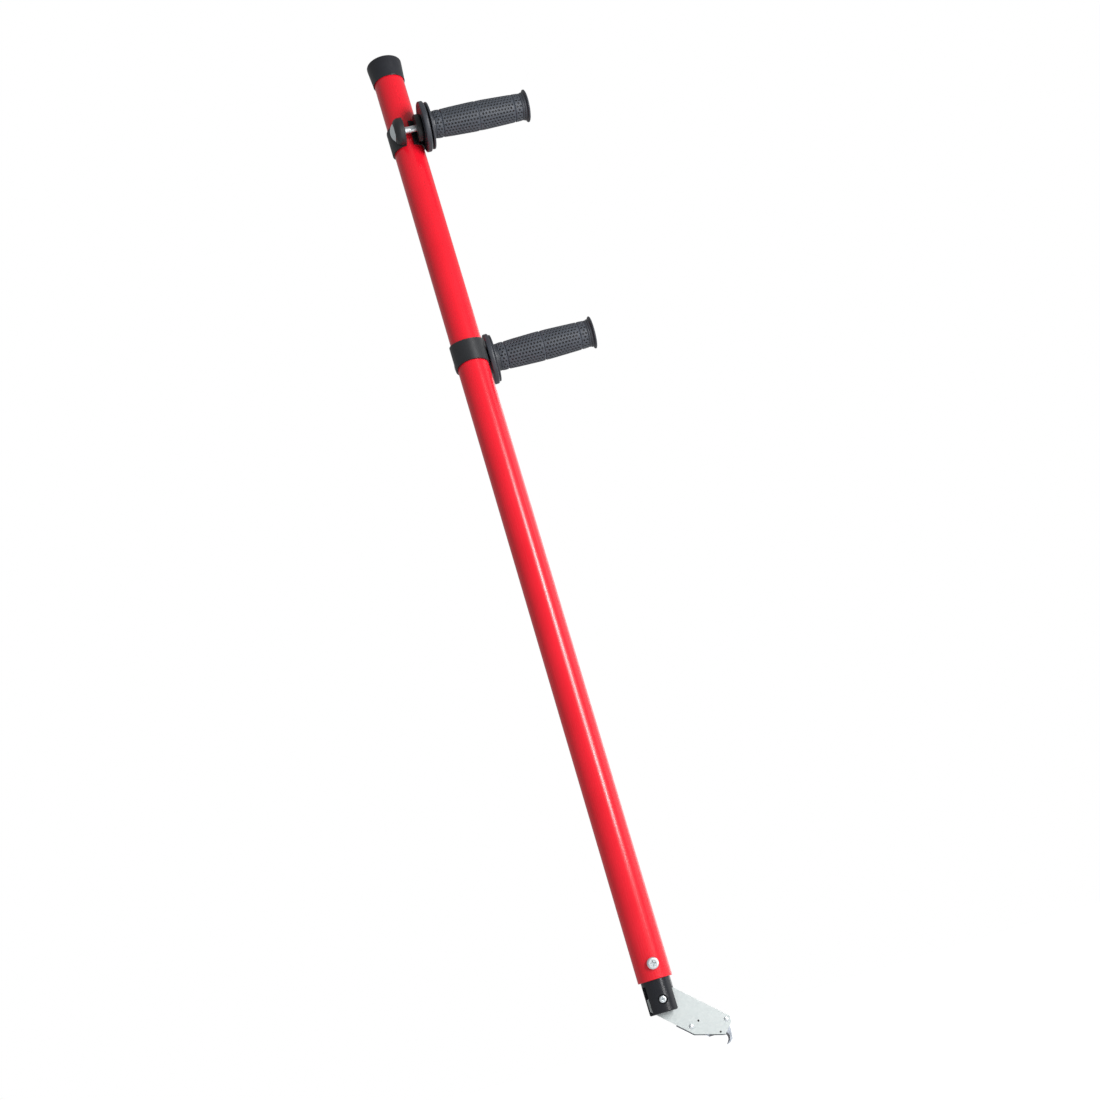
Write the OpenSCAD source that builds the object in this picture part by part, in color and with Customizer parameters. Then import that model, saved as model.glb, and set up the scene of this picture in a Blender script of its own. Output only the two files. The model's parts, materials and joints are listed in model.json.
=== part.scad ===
// Long-handled hook-blade cutter: a standing tool for slitting floor covering and roofing sheet.
// A tube carries a forked socket, a swinging blade holder and two clamp-on side handles.
// The origin is on the tube's axis at the bare middle where a rack clip holds it; +Z runs up the tube.
// The blade and both side handles point along +X. The screw heads face -Y. All sizes are in mm.

/* [Tube] */
// Outside diameter of the main tube
tube_d = 35; // [32:0.5:40]
// Wall thickness of the main tube
tube_wall = 2.5; // [1.5:0.25:3.5]
// Length of the main tube
tube_length = 1070; // [900:1:1300]
// Height of the rack clip's place above the tube's lower end
clip_height = 350; // [200:1:500]

/* [End cap] */
// Height of the end cap, outside
cap_height = 26; // [15:0.5:35]
// Thickness of the cap's closed top
cap_top = 3; // [2:0.25:6]
// Wall of the cap at its lower rim
cap_rim_wall = 1.3; // [0.8:0.1:3]
// Extra wall of the cap at its top
cap_flare = 1.6; // [0:0.1:2.5]
// Rounding of the cap's top edge
cap_round = 3; // [1:0.25:4]

/* [Socket] */
// Length of the socket that shows below the tube
socket_drop = 32.3; // [28:0.1:45]
// Length of the socket inside the tube
socket_depth = 40; // [30:1:80]
// Room between the holder plate's front and the socket's thin front cheek
slot_room = 7; // [5:0.25:8.5]
// Slot end below the tube on the blade's side
slot_top_front = 11.3; // [9:0.1:14]
// Slot end below the tube on the back side
slot_top_back = 3.6; // [2:0.1:8]
// Rounding of the socket's lower edge
socket_round = 1.2; // [0.5:0.1:2]

/* [Screws] */
// Thread diameter of the screw through the tube
tube_screw_d = 6; // [5:0.5:8]
// Head diameter of the screw through the tube
tube_screw_head_d = 12; // [10:0.5:14]
// Head height of the screw through the tube
tube_screw_head_h = 3.2; // [2.5:0.1:5]
// Height of the tube screw above the tube's lower end
tube_screw_z = 15.2; // [10:0.1:30]
// Thread diameter of the pivot screw
pivot_d = 5; // [4:0.5:6]
// Head diameter of the pivot screw
pivot_head_d = 8; // [7:0.5:9]
// Head height of the pivot screw
pivot_head_h = 3.2; // [2:0.1:4]
// Diameter of the sunk seat round the pivot screw's head
pivot_seat_d = 9.6; // [8.5:0.1:11]
// Pivot height below the tube's lower end
pivot_drop = 19.9; // [17:0.1:24]
// Outside diameter of the spacer on the pivot screw
spacer_d = 12; // [9:0.5:16]

/* [Blade holder] */
// Angle of the holder below level at rest
holder_tilt = 42; // [38:0.5:44]
// Thickness of the holder plate
plate_t = 2; // [1.5:0.25:3]
// Pivot to the holder's square end
plate_end = 70.4; // [66:0.1:80]
// Pivot to the holder's upper edge
plate_top = 15.8; // [14:0.1:16]
// Pivot to the holder's lower edge
plate_low = 15.1; // [14:0.1:18]
// Corner cut at the holder's upper end
plate_corner = 3.8; // [1:0.1:8]
// Length of the slanting cut under the blade
plate_slant = 27.2; // [20:0.1:35]
// Height of the slanting cut under the blade
plate_slant_rise = 13.5; // [10:0.1:16]
// Thickness of the cover plate
cover_t = 1.5; // [1:0.25:2.5]
// Pivot to the cover plate's inner end
cover_start = 24; // [20:0.5:30]
// Width by which the cover shows past the holder's lower edges
cover_lip = 1; // [0:0.1:2]

/* [Blade] */
// Length of the hook blade over both hooks
blade_length = 50.6; // [48:0.1:52]
// Height of the hook blade from its back to its cusps
blade_height = 19; // [17:0.1:20]
// Thickness of the hook blade
blade_t = 0.65; // [0.5:0.05:1]
// Pivot to the middle of the blade
blade_middle = 53; // [50:0.1:58]
// Pivot axis down to the blade's cusps
blade_drop = 10.8; // [9:0.1:12]
// Spacing of the two locating pins
pin_spacing = 24; // [20:0.5:28]
// Diameter of the locating pins
pin_d = 2; // [1.5:0.1:3]
// Thread diameter of the two cover screws
cover_screw_d = 5; // [4:0.5:6]
// Head diameter of the two cover screws
cover_screw_head_d = 8.5; // [7:0.5:10]

/* [Side handles] */
// Height of the upper handle's bolt above the tube's lower end
upper_height = 968; // [880:1:975]
// Height of the lower handle's bolt above the tube's lower end
lower_height = 691.5; // [560:0.5:720]
// Turn of the upper handle about the tube
upper_turn = 1.5; // [-20:0.5:20]
// Turn of the lower handle about the tube
lower_turn = -3; // [-20:0.5:20]
// Thickness of the clamp's band
band_t = 2; // [1.5:0.25:3.5]
// Height of the band beside the tube
band_side_height = 29; // [22:0.5:34]
// Height of the band opposite the bolt
band_height = 24.6; // [18:0.2:30]
// Diameter of the round cheeks that the bolt passes through
cheek_d = 31; // [26:0.5:36]
// Clear distance between the tube and the bolt
bolt_gap = 2.5; // [1.5:0.1:5]
// Diameter of the clamp bolt
bolt_d = 8; // [6:0.5:10]
// Diameter of the bolt's domed head
bolt_head_d = 20; // [15:0.5:22]
// Height of the bolt's domed head
bolt_head_h = 4.4; // [3:0.1:5]
// Length of the bolt inside the grip
bolt_reach = 32; // [20:1:60]
// Diameter of the loose guard disc
disc_d = 57; // [45:0.5:65]
// Thickness of the loose guard disc
disc_t = 6; // [4:0.25:8]
// Height of the boss on one side of the guard disc
disc_boss = 2; // [0.5:0.25:3]
// Diameter of the grip's own flange
flange_d = 53; // [45:0.5:60]
// Thickness of the grip's own flange
flange_t = 2.4; // [1.5:0.1:4]
// Length of the grip from its flange to its far end
grip_length = 116; // [100:1:130]
// Diameter of the grip over its bands
grip_d = 32.6; // [29:0.2:36]
// Depth of the grooves between the bands
groove_depth = 0.9; // [0.4:0.1:1.5]
// Diameter of the grip's smooth neck
neck_d = 30.6; // [27:0.2:32]
// Diameter of the flange at the grip's far end
end_flange_d = 38; // [34:0.5:42]

/* [Hidden] */
$fn = 96;
// radial gap of a fit that stays put
fit = 0.05;
// radial gap of the clamp's band on the tube
band_fit = 0.08;
// cutting bodies run this far past the faces they cut
past = 1;
// heights in the frame
tube_low = -clip_height;
tube_high = tube_low + tube_length;
tube_r = tube_d / 2;
bore_r = tube_r - tube_wall;
socket_r = bore_r - fit;
pivot_z = tube_low - pivot_drop;
// layers of the blade holder, from the front (-Y) to the back
plate_front = -plate_t / 2;
plate_back = plate_t / 2;
blade_back = plate_back + blade_t;
cover_back = blade_back + cover_t;
slot_front = plate_front - slot_room;
slot_back = plate_back + fit;
pivot_seat_y = -socket_r + pivot_head_h + 0.35;
pivot_tip_y = socket_r - 4;
// clamp and grip stations along the handle's own axis, from the tube's axis
cheek_r = cheek_d / 2;
bolt_r = bolt_d / 2;
bolt_y = tube_r + bolt_gap + bolt_r;
left_out = 3.2 - tube_r;
left_in = -3;
right_in = tube_r - 6.7;
right_out = tube_r + 0.7;
disc_end = right_out + disc_t;
disc_hub_end = disc_end + disc_boss;
flange_end = disc_hub_end + flange_t;
grip_end = disc_hub_end + grip_length;
sleeve_start = flange_end + 4.7;
sleeve_end = grip_end - 8.4;
core_r = grip_d / 2 - 4.2;
end_flange_t = 3;
band_slit_left = left_in;
band_slit_right = 5.5;
// grooves that part the sleeve into a short, two long and a short band
groove_w = 1.7;
short_band = 8;
long_band = (sleeve_end - sleeve_start - 2 * short_band) / 2;
groove_list = [sleeve_start + short_band, sleeve_start + short_band + long_band, sleeve_end - short_band];
black = [0.13, 0.14, 0.15];
zinc = [0.86, 0.90, 0.90];
steel = [0.62, 0.66, 0.70];

// turns a drawing so that its Z axis lies along +X
module along_x() {
  rotate([0, 90, 0]) children();
}

// turns a drawing so that its Z axis lies along +Y
module along_y() {
  rotate([-90, 0, 0]) children();
}

// sets a flat outline, drawn in the holder's own length and height, between two Y planes
module holder_layer(y_front, y_back) {
  translate([0, y_back, pivot_z])
    rotate([0, holder_tilt, 0])
      rotate([90, 0, 0])
        linear_extrude(y_back - y_front) children();
}

// a straight pin or hole across the holder, at the holder's own length u and height v
module holder_pin(u, v, r, y_front, y_back) {
  holder_layer(y_front, y_back) translate([u, v]) circle(r);
}

// cross recess of a screw, cut downwards from z = 0
module cross_recess(size, depth) {
  for (a = [0, 90])
    rotate(a) translate([-size / 2, -size / 10, -depth]) cube([size, size / 5, depth + past]);
}

// pan head with a rounded upper edge, standing on z = 0
module pan_head(d, h, recess) {
  edge = h * 0.55;
  difference() {
    rotate_extrude() {
      square([d / 2 - edge, h]);
      square([d / 2, h - edge]);
      intersection() {
        translate([d / 2 - edge, h - edge]) circle(edge);
        square([d, h]);
      }
    }
    translate([0, 0, h]) cross_recess(recess, h * 0.6);
  }
}

module main_tube() {
  color([0.80, 0.06, 0.12])
    difference() {
      translate([0, 0, tube_low]) cylinder(h = tube_length, r = tube_r);
      translate([0, 0, tube_low - past]) cylinder(h = tube_length + 2 * past, r = bore_r);
      translate([0, -tube_r - past, tube_low + tube_screw_z])
        along_y() cylinder(h = tube_r + past, r = tube_screw_d / 2 + fit);
    }
}

module end_cap() {
  rim_r = tube_r + cap_rim_wall;
  top_r = rim_r + cap_flare;
  color(black)
    translate([0, 0, tube_high + cap_top - cap_height])
      difference() {
        rotate_extrude() {
          polygon([[0, 0], [rim_r, 0], [top_r, cap_height - cap_round], [0, cap_height - cap_round]]);
          square([top_r - cap_round, cap_height]);
          intersection() {
            translate([top_r - cap_round, cap_height - cap_round]) circle(cap_round);
            square([top_r, cap_height]);
          }
        }
        translate([0, 0, -past]) cylinder(h = cap_height - cap_top + past, r = tube_r + fit);
      }
}

// the gap that the holder plate swings in, seen along Y
module slot_outline() {
  reach = socket_r + past;
  polygon([
    [-reach, -slot_top_back], [reach, -slot_top_front],
    [reach, -socket_drop - past], [-reach, -socket_drop - past]
  ]);
}

module socket() {
  color(black)
    difference() {
      translate([0, 0, tube_low - socket_drop])
        rotate_extrude() {
          translate([0, socket_round]) square([socket_r, socket_drop + socket_depth - socket_round]);
          square([socket_r - socket_round, socket_drop]);
          translate([socket_r - socket_round, socket_round]) circle(socket_round);
        }
      translate([0, slot_back, tube_low])
        rotate([90, 0, 0]) linear_extrude(slot_back - slot_front) slot_outline();
      translate([0, -socket_r - past, pivot_z])
        along_y() cylinder(h = socket_r + past + pivot_seat_y, r = pivot_seat_d / 2);
      translate([0, -socket_r, pivot_z]) along_y() cylinder(h = socket_r, r = pivot_d / 2 + fit);
      translate([0, 0, pivot_z]) along_y() cylinder(h = pivot_tip_y + past, r = pivot_d / 2);
      translate([0, -socket_r - past, tube_low + tube_screw_z])
        along_y() cylinder(h = socket_r + 8 + past, r = tube_screw_d / 2);
    }
}

module tube_screw() {
  color(zinc)
    translate([0, -tube_r, tube_low + tube_screw_z]) {
      rotate([90, 0, 0]) pan_head(tube_screw_head_d, tube_screw_head_h, tube_screw_head_d * 0.5);
      along_y() cylinder(h = tube_r + 7, r = tube_screw_d / 2);
    }
}

module pivot_screw() {
  color(zinc)
    translate([0, pivot_seat_y, pivot_z]) {
      rotate([90, 0, 0]) pan_head(pivot_head_d, pivot_head_h, pivot_head_d * 0.5);
      along_y() cylinder(h = pivot_tip_y - pivot_seat_y, r = pivot_d / 2);
    }
}

// one bush fills the slot between the front cheek and the holder plate
module pivot_spacer() {
  color(steel)
    translate([0, slot_front, pivot_z])
      along_y()
        difference() {
          cylinder(h = slot_room - fit, r = spacer_d / 2);
          translate([0, 0, -past]) cylinder(h = slot_room + 2 * past, r = pivot_d / 2 + fit);
        }
}

// outline of the holder plate: a straight strip with a hidden tail inside the socket
module plate_outline() {
  polygon([
    [-4.7, -plate_low], [plate_end - plate_slant, -plate_low],
    [plate_end, -plate_low + plate_slant_rise], [plate_end, plate_top - plate_corner],
    [plate_end - plate_corner * 0.9, plate_top], [5.2, plate_top], [-12.5, -6.4]
  ]);
}

pin_v = -1.85;
screw_near = [37.1, -10];
screw_far = [65.1, 11.5];

module holder_plate() {
  color([0.80, 0.83, 0.83])
    difference() {
      holder_layer(plate_front, plate_back) plate_outline();
      holder_pin(0, 0, pivot_d / 2 + fit, plate_front - past, plate_back + past);
      for (s = [-1, 1])
        holder_pin(blade_middle + s * pin_spacing / 2, pin_v, pin_d / 2, plate_front - past, plate_back + past);
      for (p = [screw_near, screw_far])
        holder_pin(p[0], p[1], cover_screw_d / 2 + fit, plate_front - past, plate_back + past);
    }
}

module locating_pins() {
  color([0.30, 0.31, 0.33])
    for (s = [-1, 1])
      holder_pin(blade_middle + s * pin_spacing / 2, pin_v, pin_d / 2, plate_front + 0.3, cover_back);
}

module cover_outline() {
  slant_start = plate_end - plate_slant;
  polygon([
    [cover_start, -plate_low - cover_lip], [slant_start + 0.2, -plate_low - cover_lip],
    [plate_end + 0.4, -plate_low + plate_slant_rise - cover_lip],
    [plate_end + 0.4, plate_top - plate_corner],
    [plate_end - plate_corner * 0.9, plate_top], [cover_start, plate_top]
  ]);
}

module cover_plate() {
  color([0.52, 0.54, 0.55])
    difference() {
      holder_layer(blade_back, cover_back) cover_outline();
      for (s = [-1, 1])
        holder_pin(blade_middle + s * pin_spacing / 2, pin_v, pin_d / 2 + fit, blade_back - past, cover_back + past);
      for (p = [screw_near, screw_far])
        holder_pin(p[0], p[1], cover_screw_d / 2, blade_back - past, cover_back + past);
    }
}

// the two screws enter from behind; their slightly domed ends show on the holder's front
module cover_screws() {
  head_h = 2.8;
  dome = 0.6;
  r = cover_screw_d / 2;
  ball_r = (r * r + dome * dome) / (2 * dome);
  color(zinc)
    for (p = [screw_near, screw_far])
      translate([0, 0, pivot_z])
        rotate([0, holder_tilt, 0])
          translate([p[0], 0, p[1]]) {
            translate([0, plate_front, 0]) along_y() cylinder(h = cover_back - plate_front, r = r);
            intersection() {
              translate([0, plate_front - dome + ball_r, 0]) sphere(ball_r);
              translate([0, plate_front - dome, 0]) along_y() cylinder(h = dome + 0.01, r = r);
            }
            translate([0, cover_back, 0])
              along_y() pan_head(cover_screw_head_d, head_h, cover_screw_head_d * 0.5);
          }
}

// right half of the blade's notch: a straight ramp up from the cusp, then the hook's round inside
module notch_outline() {
  half = blade_length / 2;
  peak = blade_drop - 1.3;
  translate([half - 7.8, -6.4]) circle(4.8);
  polygon([
    [4.3, -blade_drop], [half - 10.3, peak - blade_drop], [half - 7.8, -1.6],
    [half - 3, -6], [half - 2.4, -blade_drop - past], [4.3, -blade_drop - past]
  ]);
}

// right half of the blade without its notch; the hook's outside is an arc
module blade_half() {
  half = blade_length / 2;
  top = blade_height - blade_drop;
  hook_r = 9.9;
  arc_start = -1.6;
  difference() {
    polygon([
      [0, top], [half - 8, top], [half - 4.4, top - 4], [half - 0.4, arc_start],
      [half + 2, arc_start - 3.6], [half + 2, -blade_drop], [0, -blade_drop]
    ]);
    difference() {
      translate([half - hook_r, -blade_drop - past]) square([hook_r + 3, blade_drop + past + arc_start]);
      translate([half - hook_r, -3.3]) circle(hook_r);
    }
  }
}

module hook_blade() {
  color([0.66, 0.71, 0.76])
    difference() {
      holder_layer(plate_back, blade_back)
        translate([blade_middle, 0])
          for (s = [0, 1])
            mirror([s, 0])
              difference() {
                blade_half();
                notch_outline();
              }
      for (s = [-1, 1])
        holder_pin(blade_middle + s * pin_spacing / 2, pin_v, pin_d / 2 + fit, plate_back - past, blade_back + past);
      holder_pin(screw_far[0], screw_far[1], cover_screw_d / 2 + 0.3, plate_back - past, blade_back + past);
    }
}

// places a side handle: side = 1 has its bolt in front of the tube, side = -1 behind it
module handle_place(height, turn, side) {
  translate([0, 0, tube_low + height])
    rotate([side > 0 ? 0 : 180, 0, turn])
      children();
}

// a thick round cheek about the bolt's axis, with its two edges rounded
module cheek(from, to, round_low, round_high) {
  t = to - from;
  translate([from, -bolt_y, 0])
    along_x()
      rotate_extrude() {
        square([cheek_r - max(round_low, round_high), t]);
        translate([0, round_low]) square([cheek_r, t - round_low - round_high]);
        intersection() {
          translate([cheek_r - round_low, round_low]) circle(round_low);
          square([cheek_r, t]);
        }
        intersection() {
          translate([cheek_r - round_high, t - round_high]) circle(round_high);
          square([cheek_r, t]);
        }
        square([cheek_r - round_low, t / 2]);
        translate([0, t / 2]) square([cheek_r - round_high, t / 2]);
      }
}

// band round the tube with two cheeks; the band is lower opposite the bolt
module clamp_body() {
  band_r = tube_r + band_fit + band_t;
  side = band_side_height / 2;
  low = band_height / 2;
  difference() {
    union() {
      intersection() {
        translate([0, 0, -cheek_r]) cylinder(h = cheek_d, r = band_r);
        translate([-band_r, 0, 0])
          rotate([90, 0, 90])
            linear_extrude(2 * band_r)
              polygon([
                [-band_r, -cheek_r], [0, -side], [band_r, -low],
                [band_r, low], [0, side], [-band_r, cheek_r]
              ]);
      }
      cheek(left_out, left_in, 7, 1);
      cheek(right_in, right_out, 1, 3);
    }
    translate([0, 0, -cheek_d]) cylinder(h = 2 * cheek_d, r = tube_r + band_fit);
    translate([band_slit_left, -bolt_y - cheek_d, -cheek_d])
      cube([band_slit_right - band_slit_left, cheek_d + bolt_y, 2 * cheek_d]);
    translate([left_out - past, -bolt_y - bolt_r - fit, -bolt_r - fit])
      cube([6 + past, bolt_d + 2 * fit, bolt_d + 2 * fit]);
    translate([left_out - past, -bolt_y, 0])
      along_x() cylinder(h = right_out - left_out + 2 * past, r = bolt_r + fit);
    translate([right_out, -bolt_y - cheek_d, -cheek_d]) cube([band_r, bolt_y + 2 * cheek_d, 2 * cheek_d]);
  }
}

// round-headed bolt with a square neck that keeps it from turning in the left cheek
module clamp_bolt() {
  ball_r = (bolt_head_d * bolt_head_d / 4 + bolt_head_h * bolt_head_h) / (2 * bolt_head_h);
  translate([left_out, -bolt_y, 0]) {
    intersection() {
      translate([ball_r - bolt_head_h, 0, 0]) sphere(ball_r);
      translate([-bolt_head_h - past, 0, 0]) along_x() cylinder(h = bolt_head_h + past, r = bolt_head_d / 2);
    }
    translate([-0.01, -bolt_r, -bolt_r]) cube([5, bolt_d, bolt_d]);
    translate([-0.01, 0, 0]) along_x() cylinder(h = disc_hub_end + bolt_reach - left_out, r = bolt_r);
  }
}

// loose disc between the clamp and the grip; boss_side = 1 turns its boss to the grip, -1 to the clamp
module guard_disc(boss_side) {
  edge = disc_t / 2 - 0.4;
  r = disc_d / 2;
  whole = disc_t + disc_boss;
  translate([boss_side > 0 ? right_out : disc_hub_end, -bolt_y, 0])
    rotate([0, boss_side * 90, 0])
      difference() {
        rotate_extrude() {
          square([r - edge, disc_t]);
          translate([0, edge]) square([r, disc_t - 2 * edge]);
          translate([r - edge, edge]) circle(edge);
          translate([r - edge, disc_t - edge]) circle(edge);
          square([15, whole]);
        }
        translate([0, 0, -past]) cylinder(h = whole + 2 * past, r = bolt_r + fit);
      }
}

// hard inner part of the grip with its flange, its neck and its end
module grip_core() {
  neck_h = sleeve_start - flange_end;
  rib = grip_d / 2 - 0.5;
  translate([disc_hub_end, -bolt_y, 0])
    along_x()
      difference() {
        rotate_extrude() {
          square([flange_d / 2 - 0.8, flange_t]);
          translate([0, 0.4]) square([flange_d / 2, flange_t - 0.8]);
          translate([0, flange_t]) square([neck_d / 2, neck_h]);
          square([core_r, grip_length - 1]);
          translate([0, grip_length - 8.4]) square([rib, 2.2]);
          translate([0, grip_length - 6.6]) square([rib - 0.7, 1.6]);
          translate([0, grip_length - 5.4]) square([rib, 2.6]);
          translate([0, grip_length - end_flange_t]) {
            translate([0, 0.8]) square([end_flange_d / 2, end_flange_t - 1.8]);
            polygon([
              [0, 0], [end_flange_d / 2 - 1.2, 0], [end_flange_d / 2, 0.8],
              [end_flange_d / 2, end_flange_t - 1], [end_flange_d / 2 - 1.4, end_flange_t], [0, end_flange_t]
            ]);
          }
        }
        translate([0, 0, -past]) cylinder(h = bolt_reach + 8 + past, r = bolt_r + fit);
      }
}

// soft sleeve over the core, parted into bands by shallow grooves
module grip_sleeve() {
  length = sleeve_end - sleeve_start;
  outer = grip_d / 2;
  translate([sleeve_start, -bolt_y, 0])
    along_x()
      rotate_extrude()
        difference() {
          translate([core_r, 0]) square([outer - core_r, length]);
          for (g = groove_list)
            translate([outer - groove_depth, g - sleeve_start - groove_w / 2]) square([groove_depth + past, groove_w]);
        }
}

module upper_clamp() {
  color(black) handle_place(upper_height, upper_turn, 1) clamp_body();
}

module upper_bolt() {
  color(zinc) handle_place(upper_height, upper_turn, 1) clamp_bolt();
}

module upper_disc() {
  color([0.20, 0.21, 0.24]) handle_place(upper_height, upper_turn, 1) guard_disc(1);
}

module upper_core() {
  color([0.22, 0.23, 0.26]) handle_place(upper_height, upper_turn, 1) grip_core();
}

module upper_sleeve() {
  color([0.28, 0.30, 0.34]) handle_place(upper_height, upper_turn, 1) grip_sleeve();
}

module lower_clamp() {
  color(black) handle_place(lower_height, lower_turn, -1) clamp_body();
}

module lower_bolt() {
  color(zinc) handle_place(lower_height, lower_turn, -1) clamp_bolt();
}

module lower_disc() {
  color([0.20, 0.21, 0.24]) handle_place(lower_height, lower_turn, -1) guard_disc(-1);
}

module lower_core() {
  color([0.22, 0.23, 0.26]) handle_place(lower_height, lower_turn, -1) grip_core();
}

module lower_sleeve() {
  color([0.28, 0.30, 0.34]) handle_place(lower_height, lower_turn, -1) grip_sleeve();
}

main_tube();
end_cap();
socket();
tube_screw();
pivot_screw();
pivot_spacer();
holder_plate();
locating_pins();
cover_plate();
cover_screws();
hook_blade();
upper_clamp();
upper_bolt();
upper_disc();
upper_core();
upper_sleeve();
lower_clamp();
lower_bolt();
lower_disc();
lower_core();
lower_sleeve();
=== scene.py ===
# %% [markdown]
# # A long-handled hook-blade cutter, dressed for its picture
# The mechanical model gives one fixed frame: where each solid is, and which body it moves with.
# This lesson adds what the eye needs: turned rims that catch the light, a dimpled grip, a ground
# cutting edge, and a finish for every surface. Nothing is moved: each new piece is worked out in
# the same frame, in metres, and rides on the body of the solid that it stands for.

# %% Load the fixed frame
import json
import math

import bmesh
import bpy
import numpy as np
from mathutils import Matrix, Vector


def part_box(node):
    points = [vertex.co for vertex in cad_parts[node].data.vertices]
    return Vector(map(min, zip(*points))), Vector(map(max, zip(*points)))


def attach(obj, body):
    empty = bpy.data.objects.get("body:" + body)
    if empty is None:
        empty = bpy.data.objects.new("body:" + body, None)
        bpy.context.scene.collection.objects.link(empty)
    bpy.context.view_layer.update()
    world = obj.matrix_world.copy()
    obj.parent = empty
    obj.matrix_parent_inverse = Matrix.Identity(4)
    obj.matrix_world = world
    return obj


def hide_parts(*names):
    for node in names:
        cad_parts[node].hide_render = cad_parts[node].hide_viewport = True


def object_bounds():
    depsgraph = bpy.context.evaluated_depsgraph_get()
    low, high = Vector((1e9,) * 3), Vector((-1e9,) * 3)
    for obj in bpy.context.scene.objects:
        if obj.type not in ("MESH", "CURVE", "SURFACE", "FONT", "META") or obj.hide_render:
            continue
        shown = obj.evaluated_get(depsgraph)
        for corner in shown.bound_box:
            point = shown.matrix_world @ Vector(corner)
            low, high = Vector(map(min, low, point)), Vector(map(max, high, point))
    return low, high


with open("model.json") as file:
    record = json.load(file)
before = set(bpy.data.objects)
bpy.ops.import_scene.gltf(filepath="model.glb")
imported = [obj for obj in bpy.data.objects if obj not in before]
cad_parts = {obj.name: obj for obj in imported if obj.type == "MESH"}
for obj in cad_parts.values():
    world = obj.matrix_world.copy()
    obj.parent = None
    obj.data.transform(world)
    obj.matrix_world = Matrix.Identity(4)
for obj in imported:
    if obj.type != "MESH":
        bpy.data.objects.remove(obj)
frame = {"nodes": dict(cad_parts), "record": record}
cad_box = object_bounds()
MM = 0.001
joints = {j["name"]: j for j in frame["record"]["behaviour"]["joints"]}
print("the model's box in mm:", [[round(x / MM, 1) for x in corner] for corner in cad_box])

# %% [markdown]
# ## The camera
# It comes first, so that every later choice can be judged through it. The tool hangs upright in
# the frame, and the camera stands low in front of it, looks up, and is rolled over a little, so
# that the long tube runs across the picture from corner to corner. Three directions say all of
# that: where the camera looks, and which way its right and its top point.

# %% Place the camera
looks_along = Vector((0.1337, 0.9522, 0.2744)).normalized()
rough_right = Vector((0.9592, -0.0548, -0.2773))
top = rough_right.cross(looks_along).normalized()
right = looks_along.cross(top)

camera_data = bpy.data.cameras.new("studio_camera")
camera_data.sensor_width = 36
camera_data.lens = 52.93
camera = bpy.data.objects.new("studio_camera", camera_data)
camera.matrix_world = Matrix((
    (right.x, top.x, -looks_along.x, -0.2068),
    (right.y, top.y, -looks_along.y, -1.6370),
    (right.z, top.z, -looks_along.z, -0.3688),
    (0, 0, 0, 1),
))
bpy.context.scene.collection.objects.link(camera)
bpy.context.scene.camera = camera
print("camera looks up by", round(math.degrees(math.asin(looks_along.z)), 1), "degrees")

# %% [markdown]
# ## The studio
# A pale floor lies below the tool, and the world is a plain pale room. To the camera the room is
# pure white; as a light it is dimmer, so that dark plastic stays dark and steel has something
# soft to mirror. The Light Path node tells the two apart. A tall soft strip to the right front
# draws the bright line down the tube, a wide soft panel beyond it lights the right flank, and a
# third panel behind edges the dark shapes.

# %% Room, floor and view
ROOM_LIGHT = 0.38
scene = bpy.context.scene
scene.view_settings.view_transform = "Standard"
world = bpy.data.worlds.new("pale_room")
scene.world = world
world.use_nodes = True
room = world.node_tree
room.nodes.clear()
room_out = room.nodes.new("ShaderNodeOutputWorld")
room_mix = room.nodes.new("ShaderNodeMixShader")
room_path = room.nodes.new("ShaderNodeLightPath")
room_light = room.nodes.new("ShaderNodeBackground")
room_light.inputs["Color"].default_value = (0.97, 0.985, 1.0, 1)
room_light.inputs["Strength"].default_value = ROOM_LIGHT
room_seen = room.nodes.new("ShaderNodeBackground")
room_seen.inputs["Color"].default_value = (1, 1, 1, 1)
room_seen.inputs["Strength"].default_value = 1.0
room.links.new(room_path.outputs["Is Camera Ray"], room_mix.inputs["Fac"])
room.links.new(room_light.outputs[0], room_mix.inputs[1])
room.links.new(room_seen.outputs[0], room_mix.inputs[2])
room.links.new(room_mix.outputs[0], room_out.inputs["Surface"])


def pale_floor_finish():
    """Matt white, with a little glow that only the camera sees, so shadows stay and the rest is white."""
    finish = bpy.data.materials.new("pale_floor")
    finish.use_nodes = True
    tree = finish.node_tree
    base = tree.nodes["Principled BSDF"]
    base.inputs["Roughness"].default_value = 0.9
    base.inputs["Base Color"].default_value = (0.86, 0.86, 0.87, 1)
    path = tree.nodes.new("ShaderNodeLightPath")
    speck = tree.nodes.new("ShaderNodeTexNoise")
    speck.inputs["Scale"].default_value = 60
    bump = tree.nodes.new("ShaderNodeBump")
    bump.inputs["Strength"].default_value = 0.03
    base.inputs["Emission Color"].default_value = (1, 1, 1, 1)
    glow = tree.nodes.new("ShaderNodeMath")
    glow.operation = "MULTIPLY"
    glow.inputs[1].default_value = 0.80
    tree.links.new(path.outputs["Is Camera Ray"], glow.inputs[0])
    tree.links.new(glow.outputs[0], base.inputs["Emission Strength"])
    tree.links.new(speck.outputs[0], bump.inputs["Height"])
    tree.links.new(bump.outputs[0], base.inputs["Normal"])
    return finish


FLOOR_DROP = 0.16
floor_z = cad_box[0][2] - FLOOR_DROP
floor_mesh = bpy.data.meshes.new("floor")
half_floor = 9.0
floor_mesh.from_pydata(
    [(x * half_floor, y * half_floor, floor_z) for x, y in ((-1, -1), (1, -1), (1, 1), (-1, 1))],
    [], [(0, 1, 2, 3)])
floor_mesh.materials.append(pale_floor_finish())
floor = bpy.data.objects.new("floor", floor_mesh)
scene.collection.objects.link(floor)
print("floor at", round(floor_z / MM), "mm, under the lowest point by", FLOOR_DROP / MM, "mm")

# %% Lamps
TOOL_MIDDLE = Vector((0, 0, 0.15))


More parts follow.
